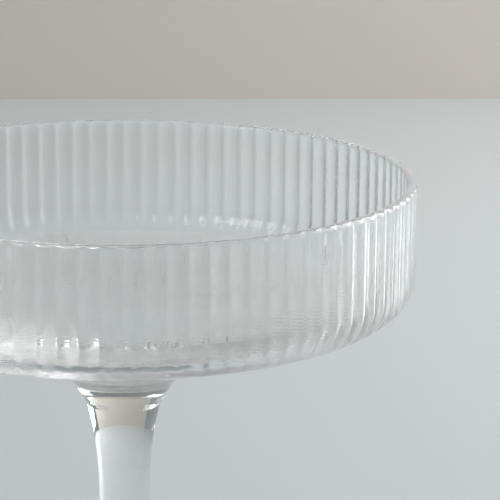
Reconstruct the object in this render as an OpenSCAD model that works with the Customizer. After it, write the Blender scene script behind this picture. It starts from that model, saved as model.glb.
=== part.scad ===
// Coupe glass: a shallow, mould-blown bowl with fine upright reeds and a plain melted lip,
// a button of glass under it, a drawn stem and a round foot, each fused face to face to the next.
// Millimetres, +Z up. The origin is the centre of the circle that the foot stands on.

/* [Overall] */
// Height from the table to the top of the lip
glass_h = 135; // [125:1:160]

/* [Bowl] */
// Diameter over the crests of the reeds
rim_d = 106; // [96:1:120]
// Depth outside, from the lip to the seat on the collar
bowl_h = 35.5; // [33:0.5:42]
// Height of the upright wall above the bottom corner
wall_h = 17; // [12:0.5:20]
// Outside radius of the bottom corner
corner_r = 7; // [5:0.5:9]
// Thickness of the wall at the bottom of a valley
wall = 1.6; // [1.2:0.1:2]
// Thickness of the melted lip
lip_t = 1.8; // [1.2:0.1:1.8]
// Height of the plain band that the lip makes above the reeds
lip_band_h = 1; // [1:0.1:2]
// Height over which the reeds rise out of the band to their full depth
reed_lead_h = 0.5; // [0.5:0.1:2]
// Number of reeds round the wall
reed_count = 94; // [72:1:110]
// Share of a reed's width by which the first reed is turned from +X
reed_turn = 0.95; // [0:0.05:1]
// Depth of the valleys between the reeds
reed_depth = 0.3; // [0.2:0.05:0.5]
// Thickness of the floor in the middle
floor_t = 4; // [2.4:0.1:5]
// Radius of the dished middle of the floor inside
dish_r = 70; // [60:1:90]

/* [Collar] */
// Diameter of the seat under the bowl
collar_d = 25.2; // [22:0.2:30]
// Height of the collar
collar_h = 7.3; // [6:0.1:9]
// Radius of the hollow curve of its side
cove_r = 12.3; // [11:0.1:16]
// Height of the sloping shoulder at its bottom
shoulder_h = 2; // [1.5:0.1:2.5]
// How far the shoulder spreads from the top of the stem
shoulder_out = 1.2; // [0.8:0.1:1.5]

/* [Stem] */
// Diameter at the slimmest part
stem_d = 9.5; // [8:0.1:11]
// Length below the collar over which the stem swells
swell_len = 16.2; // [12:0.2:20]
// Radius of the long hollow curve up to the collar
swell_r = 65; // [55:1:80]

/* [Foot] */
// Diameter of the foot
foot_d = 74; // [66:1:84]
// Height of the foot up to the end of the stem
foot_h = 10; // [8.5:0.5:12]
// Radius of the rounded edge
foot_edge_r = 1.1; // [0.9:0.1:1.5]
// Fall of the foot's top from the stem to the edge, in degrees
foot_slope = 7; // [5:0.5:9]
// Radius of the curve from the foot up into the stem
flare_r = 16; // [14:0.5:18]
// Inner diameter of the flat ring that it stands on
rest_inner_d = 60; // [50:1:62]
// Depth of the hollow under the foot
recess_h = 1.2; // [0.6:0.1:1.6]

/* [Hidden] */
$fa = 3;
$fs = 0.3;

// Segments to a full turn on the long, flat arcs
long_arc_fn = 1440;
// Length by which a cut or a clipping shape runs past what it meets
overrun = 1;
// Share of an arc's radius by which a straight line starts inside it, so that the two cross
tuck_share = 0.0003;
// Depth of glass under the valleys in which the reeds are rooted
reed_root = 0.15;
// How far the turned bottom corner lies outside the crests, so that each reed runs out on it
corner_ease = 0.1;
// Share of the shoulder's length by which its cut runs past both of its ends
cut_run_share = 0.2;

rim_r = rim_d / 2;
collar_r = collar_d / 2;
stem_r = stem_d / 2;
foot_r = foot_d / 2;
rest_inner_r = rest_inner_d / 2;

// Heights of the joints between the pieces
bowl_z = glass_h - bowl_h;
collar_z = bowl_z - collar_h;

// Inside of the bowl's wall, and the centre that both arcs of the bottom corner share
bowl_inner_r = rim_r - reed_depth - wall;
corner = [rim_r - corner_r, glass_h - wall_h];
inner_corner_r = bowl_inner_r - corner[0];

// The lip's round section, and the radius of its outer side
lip_r = lip_t / 2;
lip_centre = [bowl_inner_r + lip_r, glass_h - lip_r];
lip_outer_r = bowl_inner_r + lip_t;

// Centre of the dished middle of the floor
dish = [0, bowl_z + floor_t + dish_r];

// A reed is an arc over half a pitch each way, which meets the next one at the bottom of the valley
half_pitch = 180 / reed_count;
valley_drop = rim_r - (rim_r - reed_depth) * cos(half_pitch);
valley_side = (rim_r - reed_depth) * sin(half_pitch);
reed_r = (pow(valley_drop, 2) + pow(valley_side, 2)) / (2 * valley_drop);

// The stem's top, where the long curve reaches the collar
swell_z = collar_z - swell_len;
stem_top_r = stem_r + swell_r - sqrt(pow(swell_r, 2) - pow(swell_len, 2));

// The foot's top runs straight between the rounded edge and the curve into the stem
foot_normal = [sin(foot_slope), cos(foot_slope)];
foot_edge = [foot_r - foot_edge_r, foot_edge_r];
flare_x = stem_r + flare_r;
flare = [
    flare_x,
    foot_edge[1] + (flare_r + foot_edge_r + (foot_edge[0] - flare_x) * foot_normal[0]) / foot_normal[1]
];
recess_r = (pow(rest_inner_r, 2) + pow(recess_h, 2)) / (2 * recess_h);

// Slope of the line that runs under two circles, from the first out to the second
function slope_under(a, a_r, b, b_r) =
    let (d = b - a) atan2(d[1], d[0]) + asin((a_r - b_r) / norm(d));

// Lowest point of a circle as seen along that slope
function under(centre, r, slope) = centre + r * [sin(slope), -cos(slope)];

// Centre of the arc from p down to q that hollows the profile on its right
function hollow_centre(p, q, r) =
    let (d = q - p, half = norm(d) / 2)
    (p + q) / 2 + sqrt(pow(r, 2) - pow(half, 2)) * [-d[1], d[0]] / norm(d);

// Half section of a cup below a height: upright wall, rounded corner and straight floor.
// The floor ends on a circle about the axis where it is dished, or on a bare point at a flat seat.
module cup_2d(top, arc_r, end, end_r) {
    slope = slope_under(end, end_r, corner, arc_r);
    corner_out = under(corner, arc_r * (1 - tuck_share), slope);
    floor_in = under(end, end_r * (1 - tuck_share), slope);
    translate([0, corner[1]]) square([corner[0] + arc_r, top - corner[1]]);
    translate(corner) circle(arc_r);
    polygon([[0, corner[1]], corner, corner_out, floor_in, [0, floor_in[1]]]);
    if (end_r > 0) {
        intersection() {
            translate(end) circle(end_r, $fn = long_arc_fn);
            translate([0, end[1] - end_r - overrun]) {
                square([corner[0], floor_in[1] - end[1] + end_r + 2 * overrun]);
            }
        }
    }
}

// Outline of the reeded wall seen from above
module reeds_2d() {
    circle(rim_r - reed_depth - reed_root);
    for (i = [0:reed_count - 1]) {
        rotate((i + reed_turn) * 2 * half_pitch) translate([rim_r - reed_r, 0]) circle(reed_r);
    }
}

// The reeded body: a turned cup, with the slope at its top on which the reeds rise
module reeded_cup() {
    turned_r = rim_r + corner_ease;
    reeds_top = glass_h - lip_band_h;
    lead_z = reeds_top - reed_lead_h;
    intersection() {
        rotate_extrude() {
            cup_2d(lead_z, corner_r + corner_ease, [collar_r, bowl_z], 0);
            polygon([[0, lead_z], [turned_r, lead_z], [lip_outer_r, reeds_top], [0, reeds_top]]);
        }
        translate([0, 0, bowl_z - overrun]) linear_extrude(bowl_h + 2 * overrun) reeds_2d();
    }
}

// The melted lip: a plain ring with a round top
module lip() {
    ring_r = bowl_inner_r - wall;
    rotate_extrude() {
        translate([ring_r, glass_h - lip_band_h]) square([lip_outer_r - ring_r, lip_band_h - lip_r]);
        translate([ring_r, lip_centre[1]]) square([lip_centre[0] - ring_r, lip_r]);
        intersection() {
            translate(lip_centre) circle(lip_r);
            translate(lip_centre) square([lip_t, lip_t]);
        }
    }
}

// Everything inside the bowl, with the round inner side of the lip
module bowl_hollow() {
    rotate_extrude() {
        cup_2d(glass_h + overrun, inner_corner_r, dish, dish_r);
        difference() {
            translate([0, lip_centre[1]]) square([lip_centre[0], lip_r + overrun]);
            translate(lip_centre) circle(lip_r);
        }
    }
}

module bowl() {
    color("azure", 0.35) difference() {
        union() {
            reeded_cup();
            lip();
        }
        bowl_hollow();
    }
}

module collar() {
    top_edge = [collar_r, collar_h];
    shoulder = [stem_top_r + shoulder_out, shoulder_h];
    cut_run = cut_run_share * [shoulder_out, shoulder_h];
    cut_low = [stem_top_r, 0] - cut_run;
    cut_high = shoulder + cut_run;
    cut_r = collar_r + 2 * overrun;
    color("lightcyan", 0.35) translate([0, 0, collar_z]) rotate_extrude() difference() {
        square([collar_r + overrun, collar_h]);
        translate(hollow_centre(top_edge, shoulder, cove_r)) circle(cove_r);
        polygon([cut_low, cut_high, [cut_r, cut_high[1]], [cut_r, cut_low[1]]]);
    }
}

module stem() {
    color("aliceblue", 0.35) rotate_extrude() {
        translate([0, foot_h]) square([stem_r, collar_z - foot_h]);
        difference() {
            translate([0, swell_z]) square([stem_top_r + overrun, swell_len]);
            translate([stem_r + swell_r, swell_z]) circle(swell_r, $fn = long_arc_fn);
        }
        difference() {
            translate([0, foot_h]) square([flare[0], flare[1] - foot_h]);
            translate(flare) circle(flare_r);
        }
    }
}

module foot() {
    edge_top = foot_edge + foot_edge_r * (1 - tuck_share) * foot_normal;
    flare_end = flare - flare_r * (1 - tuck_share) * foot_normal;
    color("lightblue", 0.35) rotate_extrude() difference() {
        union() {
            polygon([
                [0, 0],
                [foot_edge[0], 0],
                foot_edge,
                edge_top,
                flare_end,
                [flare_end[0], foot_h],
                [0, foot_h]
            ]);
            translate(foot_edge) circle(foot_edge_r);
        }
        translate(flare) circle(flare_r);
        translate([0, recess_h - recess_r]) circle(recess_r, $fn = long_arc_fn);
    }
}

bowl();
collar();
stem();
foot();
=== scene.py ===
# Coupe glass in metres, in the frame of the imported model: +Z is up and the foot stands at height zero.
import bpy
import numpy as np
from math import asin, atan2, cos, degrees, hypot, pi, radians, sin, sqrt
from mathutils import Matrix, Vector


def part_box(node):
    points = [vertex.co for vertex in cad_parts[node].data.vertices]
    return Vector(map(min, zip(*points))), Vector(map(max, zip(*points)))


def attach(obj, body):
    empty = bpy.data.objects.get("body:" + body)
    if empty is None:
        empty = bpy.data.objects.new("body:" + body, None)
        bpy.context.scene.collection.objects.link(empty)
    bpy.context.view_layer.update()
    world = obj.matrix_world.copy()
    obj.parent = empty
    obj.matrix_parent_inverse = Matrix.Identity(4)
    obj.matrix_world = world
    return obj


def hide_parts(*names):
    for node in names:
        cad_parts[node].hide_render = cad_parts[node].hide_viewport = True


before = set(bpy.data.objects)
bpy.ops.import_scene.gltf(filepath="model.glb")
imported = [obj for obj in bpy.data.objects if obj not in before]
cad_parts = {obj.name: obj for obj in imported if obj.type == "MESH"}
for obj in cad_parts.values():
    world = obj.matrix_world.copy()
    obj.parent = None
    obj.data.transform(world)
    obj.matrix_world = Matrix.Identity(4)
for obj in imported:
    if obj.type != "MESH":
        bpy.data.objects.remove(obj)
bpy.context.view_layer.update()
MM = 0.001


# The bowl is blown into a reeded mould, so fine upright reeds cover its outside and the inside stays
# nearly smooth. Its lip is cut and melted round again, and its floor slopes down to a seat on the collar.
bowl_low, bowl_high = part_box("bowl")
_, collar_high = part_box("collar")
CREST_RADIUS = bowl_high[0]
LIP_HEIGHT = bowl_high[2]
SEAT_HEIGHT = bowl_low[2]
SEAT_RADIUS = collar_high[0]
WALL_HEIGHT = 17 * MM
CORNER_RADIUS = 7 * MM
REED_COUNT = 94
REED_TURN = 0.95
REED_DEPTH = 0.3 * MM
WALL_THICKNESS = 1.6 * MM
LIP_THICKNESS = 1.8 * MM
LIP_ROUND = 0.9 * MM
LIP_STEPS = 19
FLOOR_THICKNESS = 4 * MM
DISH_RADIUS = 70 * MM

# Radii between which the reeds fade out round the bottom corner
FADE_START = 52.9 * MM
FADE_END = 50 * MM
# How far a mould's reeds differ in depth, and the two waves round the bowl that this follows
UNEVENNESS = 0.06
UNEVEN_WAVES = (2.4, 0.7)

# Places across one reed, in pitches from its crest: close together by the valley, wide on the crest
REED_STEPS = (-0.5, -0.47, -0.43, -0.38, -0.29, -0.16, 0, 0.16, 0.29, 0.38, 0.43, 0.47)
# Where a reed's round back ends and the round bottom of the valley begins, in pitches from its crest
REED_BACK = 0.37

corner_x = CREST_RADIUS - CORNER_RADIUS
corner_z = LIP_HEIGHT - WALL_HEIGHT
inside_radius = CREST_RADIUS - REED_DEPTH - WALL_THICKNESS
lip_middle = inside_radius + LIP_THICKNESS / 2


def smooth_step(low, high, value):
    """0 below low, 1 above high, and a smooth rise between."""
    share = np.clip((np.asarray(value, float) - low) / (high - low), 0, 1)
    return share * share * (3 - 2 * share)


def arc(centre, radius, start, end, count):
    """Points along an arc and the directions out of it, from one angle to the other in degrees."""
    angles = np.radians(np.linspace(start, end, count))
    out = np.stack([np.cos(angles), np.sin(angles)], -1)
    return np.asarray(centre) + radius * out, out


def line(start, end, count):
    """Points from start to end."""
    share = np.linspace(0, 1, count)[:, None]
    return np.asarray(start) * (1 - share) + np.asarray(end) * share


def slope_under(a, a_radius, b, b_radius):
    """Slope of the line that runs under two circles of the profile, in radians."""
    dx, dz = b[0] - a[0], b[1] - a[1]
    return atan2(dz, dx) + asin((a_radius - b_radius) / hypot(dx, dz))


def turned_piece(name, points, seats, inner_rows=None):
    """A closed piece from rows of points round the axis: an array of row, column and place, whose first
    and last rows lie on the axis. It is fused to its neighbours between each pair of rows in seats, and
    its inside starts at the row inner_rows. Its materials are the outside, the seats and the inside."""
    seat_finish, inside_finish = 1, 2
    rows, columns = points.shape[:2]
    body = points[1:-1].reshape(-1, 3)
    vertices = np.concatenate([points[:1, 0], body, points[-1:, 0]])
    here = 1 + np.arange((rows - 3) * columns).reshape(-1, columns)
    beside = np.roll(here, -1, axis=1)
    quads = np.stack([here, beside, beside + columns, here + columns], -1)
    first = 1 + np.arange(columns)
    last = len(vertices) - 1 - columns + np.arange(columns)
    start = [(0, int(b), int(a)) for a, b in zip(first, np.roll(first, -1))]
    end = [(len(vertices) - 1, int(a), int(b)) for a, b in zip(last, np.roll(last, -1))]
    mesh = bpy.data.meshes.new(name)
    mesh.from_pydata(vertices.tolist(), [], start + quads.reshape(-1, 4).tolist() + end)
    mesh.validate()
    mesh.shade_smooth()
    row_of_face = np.concatenate([
        np.zeros(columns, dtype=int),
        1 + np.arange(len(quads) * columns) // columns,
        np.full(columns, rows - 2),
    ])
    finish = np.zeros(len(row_of_face), dtype=np.int32)
    if inner_rows:
        finish[row_of_face >= inner_rows] = inside_finish
    for low, high in seats:
        finish[(row_of_face >= low) & (row_of_face < high)] = seat_finish
    mesh.polygons.foreach_set("material_index", finish)
    edge_rows = {edge for seat in seats for edge in seat if 0 < edge < rows - 1}
    ends = np.empty(len(mesh.edges) * 2, dtype=np.int32)
    mesh.edges.foreach_get("vertices", ends)
    row_of_vertex = np.concatenate([[0], 1 + np.arange(len(body)) // columns, [rows - 1]])
    row_of_end = row_of_vertex[ends.reshape(-1, 2)]
    on_seat = (row_of_end[:, 0] == row_of_end[:, 1]) & np.isin(row_of_end[:, 0], list(edge_rows))
    sharp = mesh.attributes.new("sharp_edge", "BOOLEAN", "EDGE")
    sharp.data.foreach_set("value", on_seat)
    piece = bpy.data.objects.new(name, mesh)
    bpy.context.collection.objects.link(piece)
    return piece


# Outside of the bowl, from the seat out along the floor, round the corner and up the wall. Each point
# of the profile lies on the reeds' crests, with the direction in which the reeds stand.
floor_slope = slope_under((SEAT_RADIUS, SEAT_HEIGHT), 0, (corner_x, corner_z), CORNER_RADIUS)
corner_start = -90 + degrees(floor_slope)
corner_points, corner_out = arc((corner_x, corner_z), CORNER_RADIUS, corner_start, 0, count=15)
floor_points = line((SEAT_RADIUS, SEAT_HEIGHT), corner_points[0], count=16)[:-1]
floor_out = np.tile(corner_out[0], (len(floor_points), 1))
wall_points = line((CREST_RADIUS, corner_z), (CREST_RADIUS, LIP_HEIGHT - LIP_ROUND), count=6)[1:]
wall_out = np.tile((1.0, 0.0), (len(wall_points), 1))
crest = np.concatenate([floor_points, corner_points, wall_points])
crest_out = np.concatenate([floor_out, corner_out, wall_out])

# How deep the surface lies under the crest line at each row and column
columns = REED_COUNT * len(REED_STEPS)
across = np.tile(REED_STEPS, REED_COUNT)
reed = np.repeat(np.arange(REED_COUNT), len(REED_STEPS))
round_angle = (reed + across + REED_TURN) * 2 * pi / REED_COUNT
depth_here = REED_DEPTH * smooth_step(FADE_END, FADE_START, crest[:, 0])[:, None]
depth_here = depth_here * (1 + UNEVENNESS * np.sin(reed * UNEVEN_WAVES[0]) * np.sin(reed * UNEVEN_WAVES[1]))
from_crest = np.abs(across)
back = from_crest ** 2 / (REED_BACK / 2)
valley = 1 - (0.5 - from_crest) ** 2 / ((0.5 - REED_BACK) / 2)
sunk = depth_here * np.where(from_crest < REED_BACK, back, valley)
sunk[:1] = 0
outside = crest[:, None, :] - crest_out[:, None, :] * sunk[:, :, None]

# The lip is round from the reeds over to the inside, and the reeds melt out on it
lip_turn = np.radians(np.linspace(0, 180, LIP_STEPS))[1:-1, None]
lip_side = np.where(lip_turn < pi / 2, outside[-1, :, 0] - lip_middle, lip_middle - inside_radius)
lip_rise = LIP_HEIGHT - LIP_ROUND * (1 - np.sin(lip_turn))
lip = np.stack([
    lip_middle + lip_side * np.cos(lip_turn),
    np.broadcast_to(lip_rise, lip_side.shape),
], -1)

# Inside of the bowl, from the lip down the wall, round the corner and in to the dished middle
inner_corner = inside_radius - corner_x
dish_z = SEAT_HEIGHT + FLOOR_THICKNESS + DISH_RADIUS
inner_slope = slope_under((0, dish_z), DISH_RADIUS, (corner_x, corner_z), inner_corner)
inner_corner_points, _ = arc((corner_x, corner_z), inner_corner, 0, -90 + degrees(inner_slope), count=14)
dish_points, _ = arc((0, dish_z), DISH_RADIUS, -90 + degrees(inner_slope), -90, count=10)
inner = np.concatenate([
    line((inside_radius, LIP_HEIGHT - LIP_ROUND), (inside_radius, corner_z), count=5),
    inner_corner_points[1:],
    line(inner_corner_points[-1], dish_points[0], count=5)[1:],
    dish_points[1:-1],
])
inside = np.repeat(inner[:, None, :], columns, axis=1)

# The inside follows the reeds a very little, and a little more in the corner. This fades out towards
# the lip, and inwards on the floor.
INSIDE_REED = 0.02 * MM
INSIDE_CORNER_REED = 0.05 * MM
CORNER_BLEND = 1 * MM
LIP_FADE = 3 * MM
INSIDE_FADE_START = 50 * MM
INSIDE_FADE_END = 40 * MM
in_corner = smooth_step(-CORNER_BLEND, CORNER_BLEND, corner_z - inner[:, 1])
inside_reed = INSIDE_REED + (INSIDE_CORNER_REED - INSIDE_REED) * in_corner
below_lip = 1 - smooth_step(-LIP_FADE, -LIP_ROUND, inner[:, 1] - LIP_HEIGHT)
follows = smooth_step(INSIDE_FADE_END, INSIDE_FADE_START, inner[:, 0]) * below_lip
inside[:, :, 0] += (follows * inside_reed)[:, None] * np.cos(2 * pi * across)

profile = np.concatenate([outside, lip, inside])
ring = np.stack([
    profile[:, :, 0] * np.cos(round_angle),
    profile[:, :, 0] * np.sin(round_angle),
    profile[:, :, 1],
], -1)
seat_centre = np.tile((0, 0, SEAT_HEIGHT), (1, columns, 1))
floor_centre = np.tile((0, 0, SEAT_HEIGHT + FLOOR_THICKNESS), (1, columns, 1))
inside_start = 1 + len(crest) + len(lip)
bowl = turned_piece("bowl_glass", np.concatenate([seat_centre, ring, floor_centre]), [(0, 1)], inside_start)


class Socket:
    """A shader socket on which sums are written as plain expressions."""

    def __init__(self, tree, socket):
        self.tree = tree
        self.socket = socket

    def __add__(self, other):
        return self.tree.sum("ADD", self, other)

    __radd__ = __add__

    def __mul__(self, other):
        return self.tree.sum("MULTIPLY", self, other)

    __rmul__ = __mul__

    def __sub__(self, other):
        return self.tree.sum("SUBTRACT", self, other)

    def __rsub__(self, other):
        return self.tree.sum("SUBTRACT", other, self)


class Finish:
    """The node tree of a material or of the world."""

    def __init__(self, owner):
        owner.use_nodes = True
        self.tree = owner.node_tree
        self.tree.nodes.clear()

    def sum(self, operation, *values):
        """A Math node on values or sockets."""
        return self.node("Math", {"operation": operation}, list(values))

    def node(self, kind, settings, sockets, output=0):
        """Adds a node, sets its settings and then its sockets, given in order or by name."""
        made = self.tree.nodes.new("ShaderNode" + kind)
        for name, value in settings.items():
            setattr(made, name, value)
        pairs = sockets.items() if isinstance(sockets, dict) else enumerate(sockets)
        for key, value in pairs:
            if isinstance(value, Socket):
                self.tree.links.new(value.socket, made.inputs[key])
            elif value is not None:
                made.inputs[key].default_value = value
        return Socket(self, made.outputs[output]) if made.outputs else made


# Clear, colourless glass. Light from the lamps goes straight through to the table, a little weakened, and
# the surface has the faint wander of blown glass. Where the hot glass met the colder mould, it chilled in
# fine level lines, which rise a little on each reed.
GLASS_COLOUR = (0.985, 0.992, 0.99, 1)
GLASS_IOR = 1.5
SHADOW_COLOUR = (0.93, 0.935, 0.935, 1)
WANDER_SCALE = 90
WANDER_DEPTH = 0.04 * MM
# The thin film left by wiping makes the surface a little less than mirror smooth, in smears
FILM_SCALE = 260
FILM_SPREAD = (0.35, 0.8)
FILM_ROUGHNESS = (0.015, 0.06)
# Chill lines: how far apart they are, how far they rise on a reed, and the length over which they fade
CHILL_SPACING = 0.6 * MM
CHILL_RISE = 0.25 * MM
CHILL_FADE = 12 * MM
# They drift by this many radians, and are strong in patches and faint between them
CHILL_DRIFT = 9
DRIFT_SCALE = 70
PATCH_SCALE = 45
PATCH_SPREAD = (0.42, 0.6)
PATCH_STRENGTH = (0.1, 1.0)


def clear_glass(name, chill_depth=0, chill_top=0):
    """Glass with the wander of a blown surface and, below chill_top, with chill lines of that depth."""
    material = bpy.data.materials.new(name)
    glass = Finish(material)
    place = glass.node("TexCoord", {}, [], "Object")
    film = glass.node("TexNoise", {}, {"Vector": place, "Scale": FILM_SCALE, "Detail": 5}, "Fac")
    broad = glass.node("TexNoise", {}, {"Vector": place, "Scale": WANDER_SCALE, "Detail": 2}, "Fac")
    surface = glass.node("Bump", {}, {"Strength": 1.0, "Distance": WANDER_DEPTH, "Height": broad})
    if chill_depth:
        x, y, height = (glass.node("SeparateXYZ", {}, [place], axis) for axis in "XYZ")
        radius = glass.sum("SQRT", x * x + y * y)
        turn = glass.sum("ARCTAN2", y, x) * REED_COUNT - 2 * pi * REED_TURN
        drift = glass.node("TexNoise", {}, {"Vector": place, "Scale": DRIFT_SCALE, "Detail": 2}, "Fac")
        along = radius + height - CHILL_RISE * glass.sum("COSINE", turn)
        lines = glass.sum("SINE", along * (2 * pi / CHILL_SPACING) + drift * CHILL_DRIFT)
        patches = glass.node("TexNoise", {}, {"Vector": place, "Scale": PATCH_SCALE, "Detail": 1}, "Fac")
        patch = glass.node("MapRange", {}, [patches, *PATCH_SPREAD, *PATCH_STRENGTH])
        fading = glass.node("MapRange", {}, [height, chill_top - CHILL_FADE, chill_top, 1.0, 0.0])
        surface = glass.node("Bump", {}, {
            "Strength": 1.0,
            "Distance": chill_depth,
            "Height": lines * patch * fading,
            "Normal": surface,
        })
    smear = glass.node("MapRange", {}, [film, *FILM_SPREAD, *FILM_ROUGHNESS])
    clear = glass.node("BsdfPrincipled", {}, {
        "Base Color": GLASS_COLOUR,
        "Roughness": smear,
        "IOR": GLASS_IOR,
        "Transmission Weight": 1.0,
        "Normal": surface,
    })
    lit_through = glass.node("BsdfTransparent", {}, [SHADOW_COLOUR])
    to_lamp = glass.node("LightPath", {}, [], "Is Shadow Ray")
    shader = glass.node("MixShader", {}, [to_lamp, clear, lit_through])
    glass.node("OutputMaterial", {}, [shader])
    return material


def fused_seam():
    """The inside of a joint between two pieces of glass, which melt into one there, so nothing shows."""
    material = bpy.data.materials.new("fused_seam")
    seam = Finish(material)
    through = seam.node("BsdfPrincipled", {}, {"Base Color": GLASS_COLOUR, "Alpha": 0.0})
    seam.node("OutputMaterial", {}, [through])
    return material


# Depth of the chill lines on the bowl, and how far above the corner they end, outside and inside
OUTSIDE_CHILL = 0.012 * MM
OUTSIDE_CHILL_RISE = 4 * MM
INSIDE_CHILL = 0.007 * MM
INSIDE_CHILL_RISE = 15 * MM
seam_glass = fused_seam()
bowl.data.materials.append(clear_glass("blown_glass", OUTSIDE_CHILL, corner_z + OUTSIDE_CHILL_RISE))
bowl.data.materials.append(seam_glass)
bowl.data.materials.append(clear_glass("chilled_glass", INSIDE_CHILL, corner_z + INSIDE_CHILL_RISE))
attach(bowl, "root")
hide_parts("bowl")


# The collar is a button of hot glass pressed between the bowl and the stem. Its side is a hollow curve
# above a short sloping shoulder, which turns sharply into the stem.
stem_low, stem_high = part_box("stem")
COVE_RADIUS = 12.3 * MM
SHOULDER_OUT = 1.2 * MM
SHOULDER_HEIGHT = 2 * MM
STEM_RADIUS = 4.75 * MM
SWELL_LENGTH = 16.2 * MM
SWELL_RADIUS = 65 * MM
# Number of columns round each of the turned pieces
TURNS = 192
joint_z = stem_high[2]
stem_top = STEM_RADIUS + SWELL_RADIUS - sqrt(SWELL_RADIUS ** 2 - SWELL_LENGTH ** 2)


def turned(name, outline, seats):
    """A round piece from its outline, given as points of radius and height from axis to axis."""
    outline = np.asarray(outline)
    angles = np.arange(TURNS) * 2 * pi / TURNS
    rows = np.stack([
        outline[:, :1] * np.cos(angles),
        outline[:, :1] * np.sin(angles),
        np.repeat(outline[:, 1:], TURNS, axis=1),
    ], -1)
    return turned_piece(name, rows, seats)


def upper_seat(outline):
    """The two last rows of a piece, between which its upper end is fused to its neighbour."""
    return len(outline) - 2, len(outline) - 1


def hollow_centre(top, low, radius):
    """Centre of the arc from top down to low that hollows the outline."""
    dx, dz = low[0] - top[0], low[1] - top[1]
    length = hypot(dx, dz)
    reach = sqrt(radius ** 2 - (length / 2) ** 2)
    return (top[0] + low[0]) / 2 - dz / length * reach, (top[1] + low[1]) / 2 + dx / length * reach


cove_top = (SEAT_RADIUS, SEAT_HEIGHT)
shoulder = (stem_top + SHOULDER_OUT, joint_z + SHOULDER_HEIGHT)
cove = hollow_centre(cove_top, shoulder, COVE_RADIUS)
cove_start = degrees(atan2(shoulder[1] - cove[1], shoulder[0] - cove[0]))
cove_end = degrees(atan2(cove_top[1] - cove[1], cove_top[0] - cove[0]))
cove_points, _ = arc(cove, COVE_RADIUS, cove_start, cove_end, count=36)
collar_outline = np.concatenate([
    [(0, joint_z)],
    line((stem_top, joint_z), shoulder, count=10),
    cove_points[1:],
    [(0, SEAT_HEIGHT)],
])
collar = turned("collar_glass", collar_outline, [(0, 1), upper_seat(collar_outline)])
plain_glass = clear_glass("drawn_glass")
collar.data.materials.append(plain_glass)
collar.data.materials.append(seam_glass)
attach(collar, "root")
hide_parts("collar")


# The stem is drawn out of the collar's gather: a solid rod that swells in one long curve to the collar
# and flares at its lower end, where it is melted on to the foot.
_, foot_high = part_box("foot")
FLARE_RADIUS = 16 * MM
FOOT_EDGE_RADIUS = 1.1 * MM
FOOT_SLOPE = radians(7)
foot_joint = stem_low[2]
foot_radius = foot_high[0]
edge = (foot_radius - FOOT_EDGE_RADIUS, FOOT_EDGE_RADIUS)
flare_x = STEM_RADIUS + FLARE_RADIUS
flare_rise = FLARE_RADIUS + FOOT_EDGE_RADIUS + (edge[0] - flare_x) * sin(FOOT_SLOPE)
flare = (flare_x, edge[1] + flare_rise / cos(FOOT_SLOPE))
flare_at_joint = 180 + degrees(asin((flare[1] - foot_joint) / FLARE_RADIUS))
flare_points, _ = arc(flare, FLARE_RADIUS, flare_at_joint, 180, count=14)
swell_centre = (STEM_RADIUS + SWELL_RADIUS, joint_z - SWELL_LENGTH)
swell_end = degrees(asin(SWELL_LENGTH / SWELL_RADIUS))
swell_points, _ = arc(swell_centre, SWELL_RADIUS, 180, 180 - swell_end, count=40)
stem_outline = np.concatenate([
    [(0, foot_joint)],
    flare_points,
    line(flare_points[-1], swell_points[0], count=30)[1:],
    swell_points[1:],
    [(0, joint_z)],
])
stem = turned("stem_glass", stem_outline, [(0, 1), upper_seat(stem_outline)])
stem.data.materials.append(plain_glass)
stem.data.materials.append(seam_glass)
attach(stem, "root")
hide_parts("stem")


# The foot is a thin round disc of glass, spun out flat while hot, with a rounded edge. It stands on a
# flat ring, inside which its underside is a little hollow.
REST_INNER_RADIUS = 30 * MM
RECESS_HEIGHT = 1.2 * MM
recess_radius = (REST_INNER_RADIUS ** 2 + RECESS_HEIGHT ** 2) / (2 * RECESS_HEIGHT)
recess = (0, RECESS_HEIGHT - recess_radius)
recess_edge = degrees(asin(REST_INNER_RADIUS / recess_radius))
recess_points, _ = arc(recess, recess_radius, 90, 90 - recess_edge, count=16)
edge_points, _ = arc(edge, FOOT_EDGE_RADIUS, -90, 90 - degrees(FOOT_SLOPE), count=16)
foot_flare, _ = arc(flare, FLARE_RADIUS, 270 - degrees(FOOT_SLOPE), flare_at_joint, count=16)
foot_outline = np.concatenate([
    recess_points,
    line(recess_points[-1], edge_points[0], count=4)[1:],
    edge_points[1:],
    line(edge_points[-1], foot_flare[0], count=14)[1:],
    foot_flare[1:],
    [(0, foot_joint)],
])
foot = turned("foot_glass", foot_outline, [upper_seat(foot_outline)])
foot.data.materials.append(plain_glass)
foot.data.materials.append(seam_glass)
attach(foot, "root")
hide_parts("foot")


# The table is a plain, pale blue-grey top, a hair under the foot, and a plain beige wall stands behind it.
TABLE_COLOUR = (0.64, 0.69, 0.70, 1)
TABLE_ROUGHNESS = 0.5
TABLE_REACH = 1.8
TABLE_FRONT = -0.42
TABLE_TOP = -0.05 * MM
WALL_COLOUR = (0.72, 0.665, 0.61, 1)
WALL_ROUGHNESS = 0.9
WALL_PLACE = 0.81
WALL_TOP = 0.9
WALL_LEFT = -0.45
WALL_RIGHT = 0.68


def plain_sheet(name, corners, colour, roughness):
    """A flat sheet in one colour, which stays out of the object."""
    mesh = bpy.data.meshes.new(name)
    mesh.from_pydata(corners, [], [tuple(range(len(corners)))])
    sheet = bpy.data.objects.new(name, mesh)
    bpy.context.collection.objects.link(sheet)
    material = bpy.data.materials.new(name)
    paint = Finish(material)
    satin = paint.node("BsdfPrincipled", {}, {"Base Color": colour, "Roughness": roughness})
    paint.node("OutputMaterial", {}, [satin])
    mesh.materials.append(material)


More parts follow.
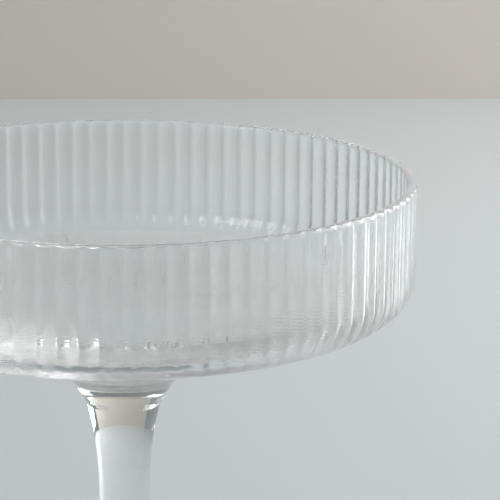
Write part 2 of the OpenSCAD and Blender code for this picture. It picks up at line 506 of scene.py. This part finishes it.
plain_sheet("table_top", [
    (-TABLE_REACH, TABLE_FRONT, TABLE_TOP),
    (TABLE_REACH, TABLE_FRONT, TABLE_TOP),
    (TABLE_REACH, WALL_PLACE, TABLE_TOP),
    (-TABLE_REACH, WALL_PLACE, TABLE_TOP),
], TABLE_COLOUR, TABLE_ROUGHNESS)
plain_sheet("back_wall", [
    (WALL_LEFT, WALL_PLACE, TABLE_TOP),
    (WALL_RIGHT, WALL_PLACE, TABLE_TOP),
    (WALL_RIGHT, WALL_PLACE, WALL_TOP),
    (WALL_LEFT, WALL_PLACE, WALL_TOP),
], WALL_COLOUR, WALL_ROUGHNESS)


# Soft studio light: a tall lamp and a large one on the right, behind the glass, a smaller and weaker one
# high in front on the left, and a dim grey room.
def soft_lamp(name, place, target, size, power):
    """An area lamp, wide and high, that faces a point."""
    lamp = bpy.data.lights.new(name, "AREA")
    lamp.shape = "RECTANGLE"
    lamp.size, lamp.size_y = size
    lamp.energy = power
    holder = bpy.data.objects.new(name, lamp)
    holder.location = place
    holder.rotation_euler = (Vector(place) - Vector(target)).to_track_quat("Z", "Y").to_euler()
    bpy.context.collection.objects.link(holder)


soft_lamp("right_lamp", place=(0.93, 0.5, 0.65), target=(0, 0, 0.65), size=(0.5, 1.2), power=8.5)
soft_lamp("wide_lamp", place=(1.25, 0.45, 0.87), target=(0, 0.4, 0.87), size=(1.5, 1.5), power=18.5)
soft_lamp("left_lamp", place=(-1.03, -0.55, 1.1), target=(0, 0, 0.1), size=(0.6, 0.8), power=3.8)

ROOM_COLOUR = (0.20, 0.205, 0.21, 1)
world = bpy.data.worlds.new("room")
bpy.context.scene.world = world
room = Finish(world)
room_light = room.node("Background", {}, [ROOM_COLOUR, 1.0])
room.node("OutputWorld", {}, [room_light])


# The camera looks a little down across the rim, turned to the right so that the glass stands left.
CAMERA_PLACE = (0, -0.4034, 0.2229)
CAMERA_TILT = radians(14.17)
CAMERA_TURN = radians(3.27)
CAMERA_ROLL = radians(0.54)
CAMERA_LENS = 164.9
NEAREST_SEEN = 10 * MM
camera_data = bpy.data.cameras.new("camera")
camera_data.lens = CAMERA_LENS
camera_data.clip_start = NEAREST_SEEN
camera = bpy.data.objects.new("camera", camera_data)
camera.matrix_world = (
    Matrix.Translation(CAMERA_PLACE)
    @ Matrix.Rotation(-CAMERA_TURN, 4, "Z")
    @ Matrix.Rotation(pi / 2 - CAMERA_TILT, 4, "X")
    @ Matrix.Rotation(CAMERA_ROLL, 4, "Z")
)
bpy.context.collection.objects.link(camera)
bpy.context.scene.camera = camera

# Light bounces many times before it is through both walls of the reeded bowl
LIGHT_BOUNCES = 48
scene = bpy.context.scene
scene.view_settings.view_transform = "Standard"
scene.cycles.max_bounces = LIGHT_BOUNCES
scene.cycles.transmission_bounces = LIGHT_BOUNCES
scene.cycles.glossy_bounces = LIGHT_BOUNCES
scene.cycles.transparent_max_bounces = LIGHT_BOUNCES
scene.cycles.caustics_reflective = False
scene.cycles.caustics_refractive = False
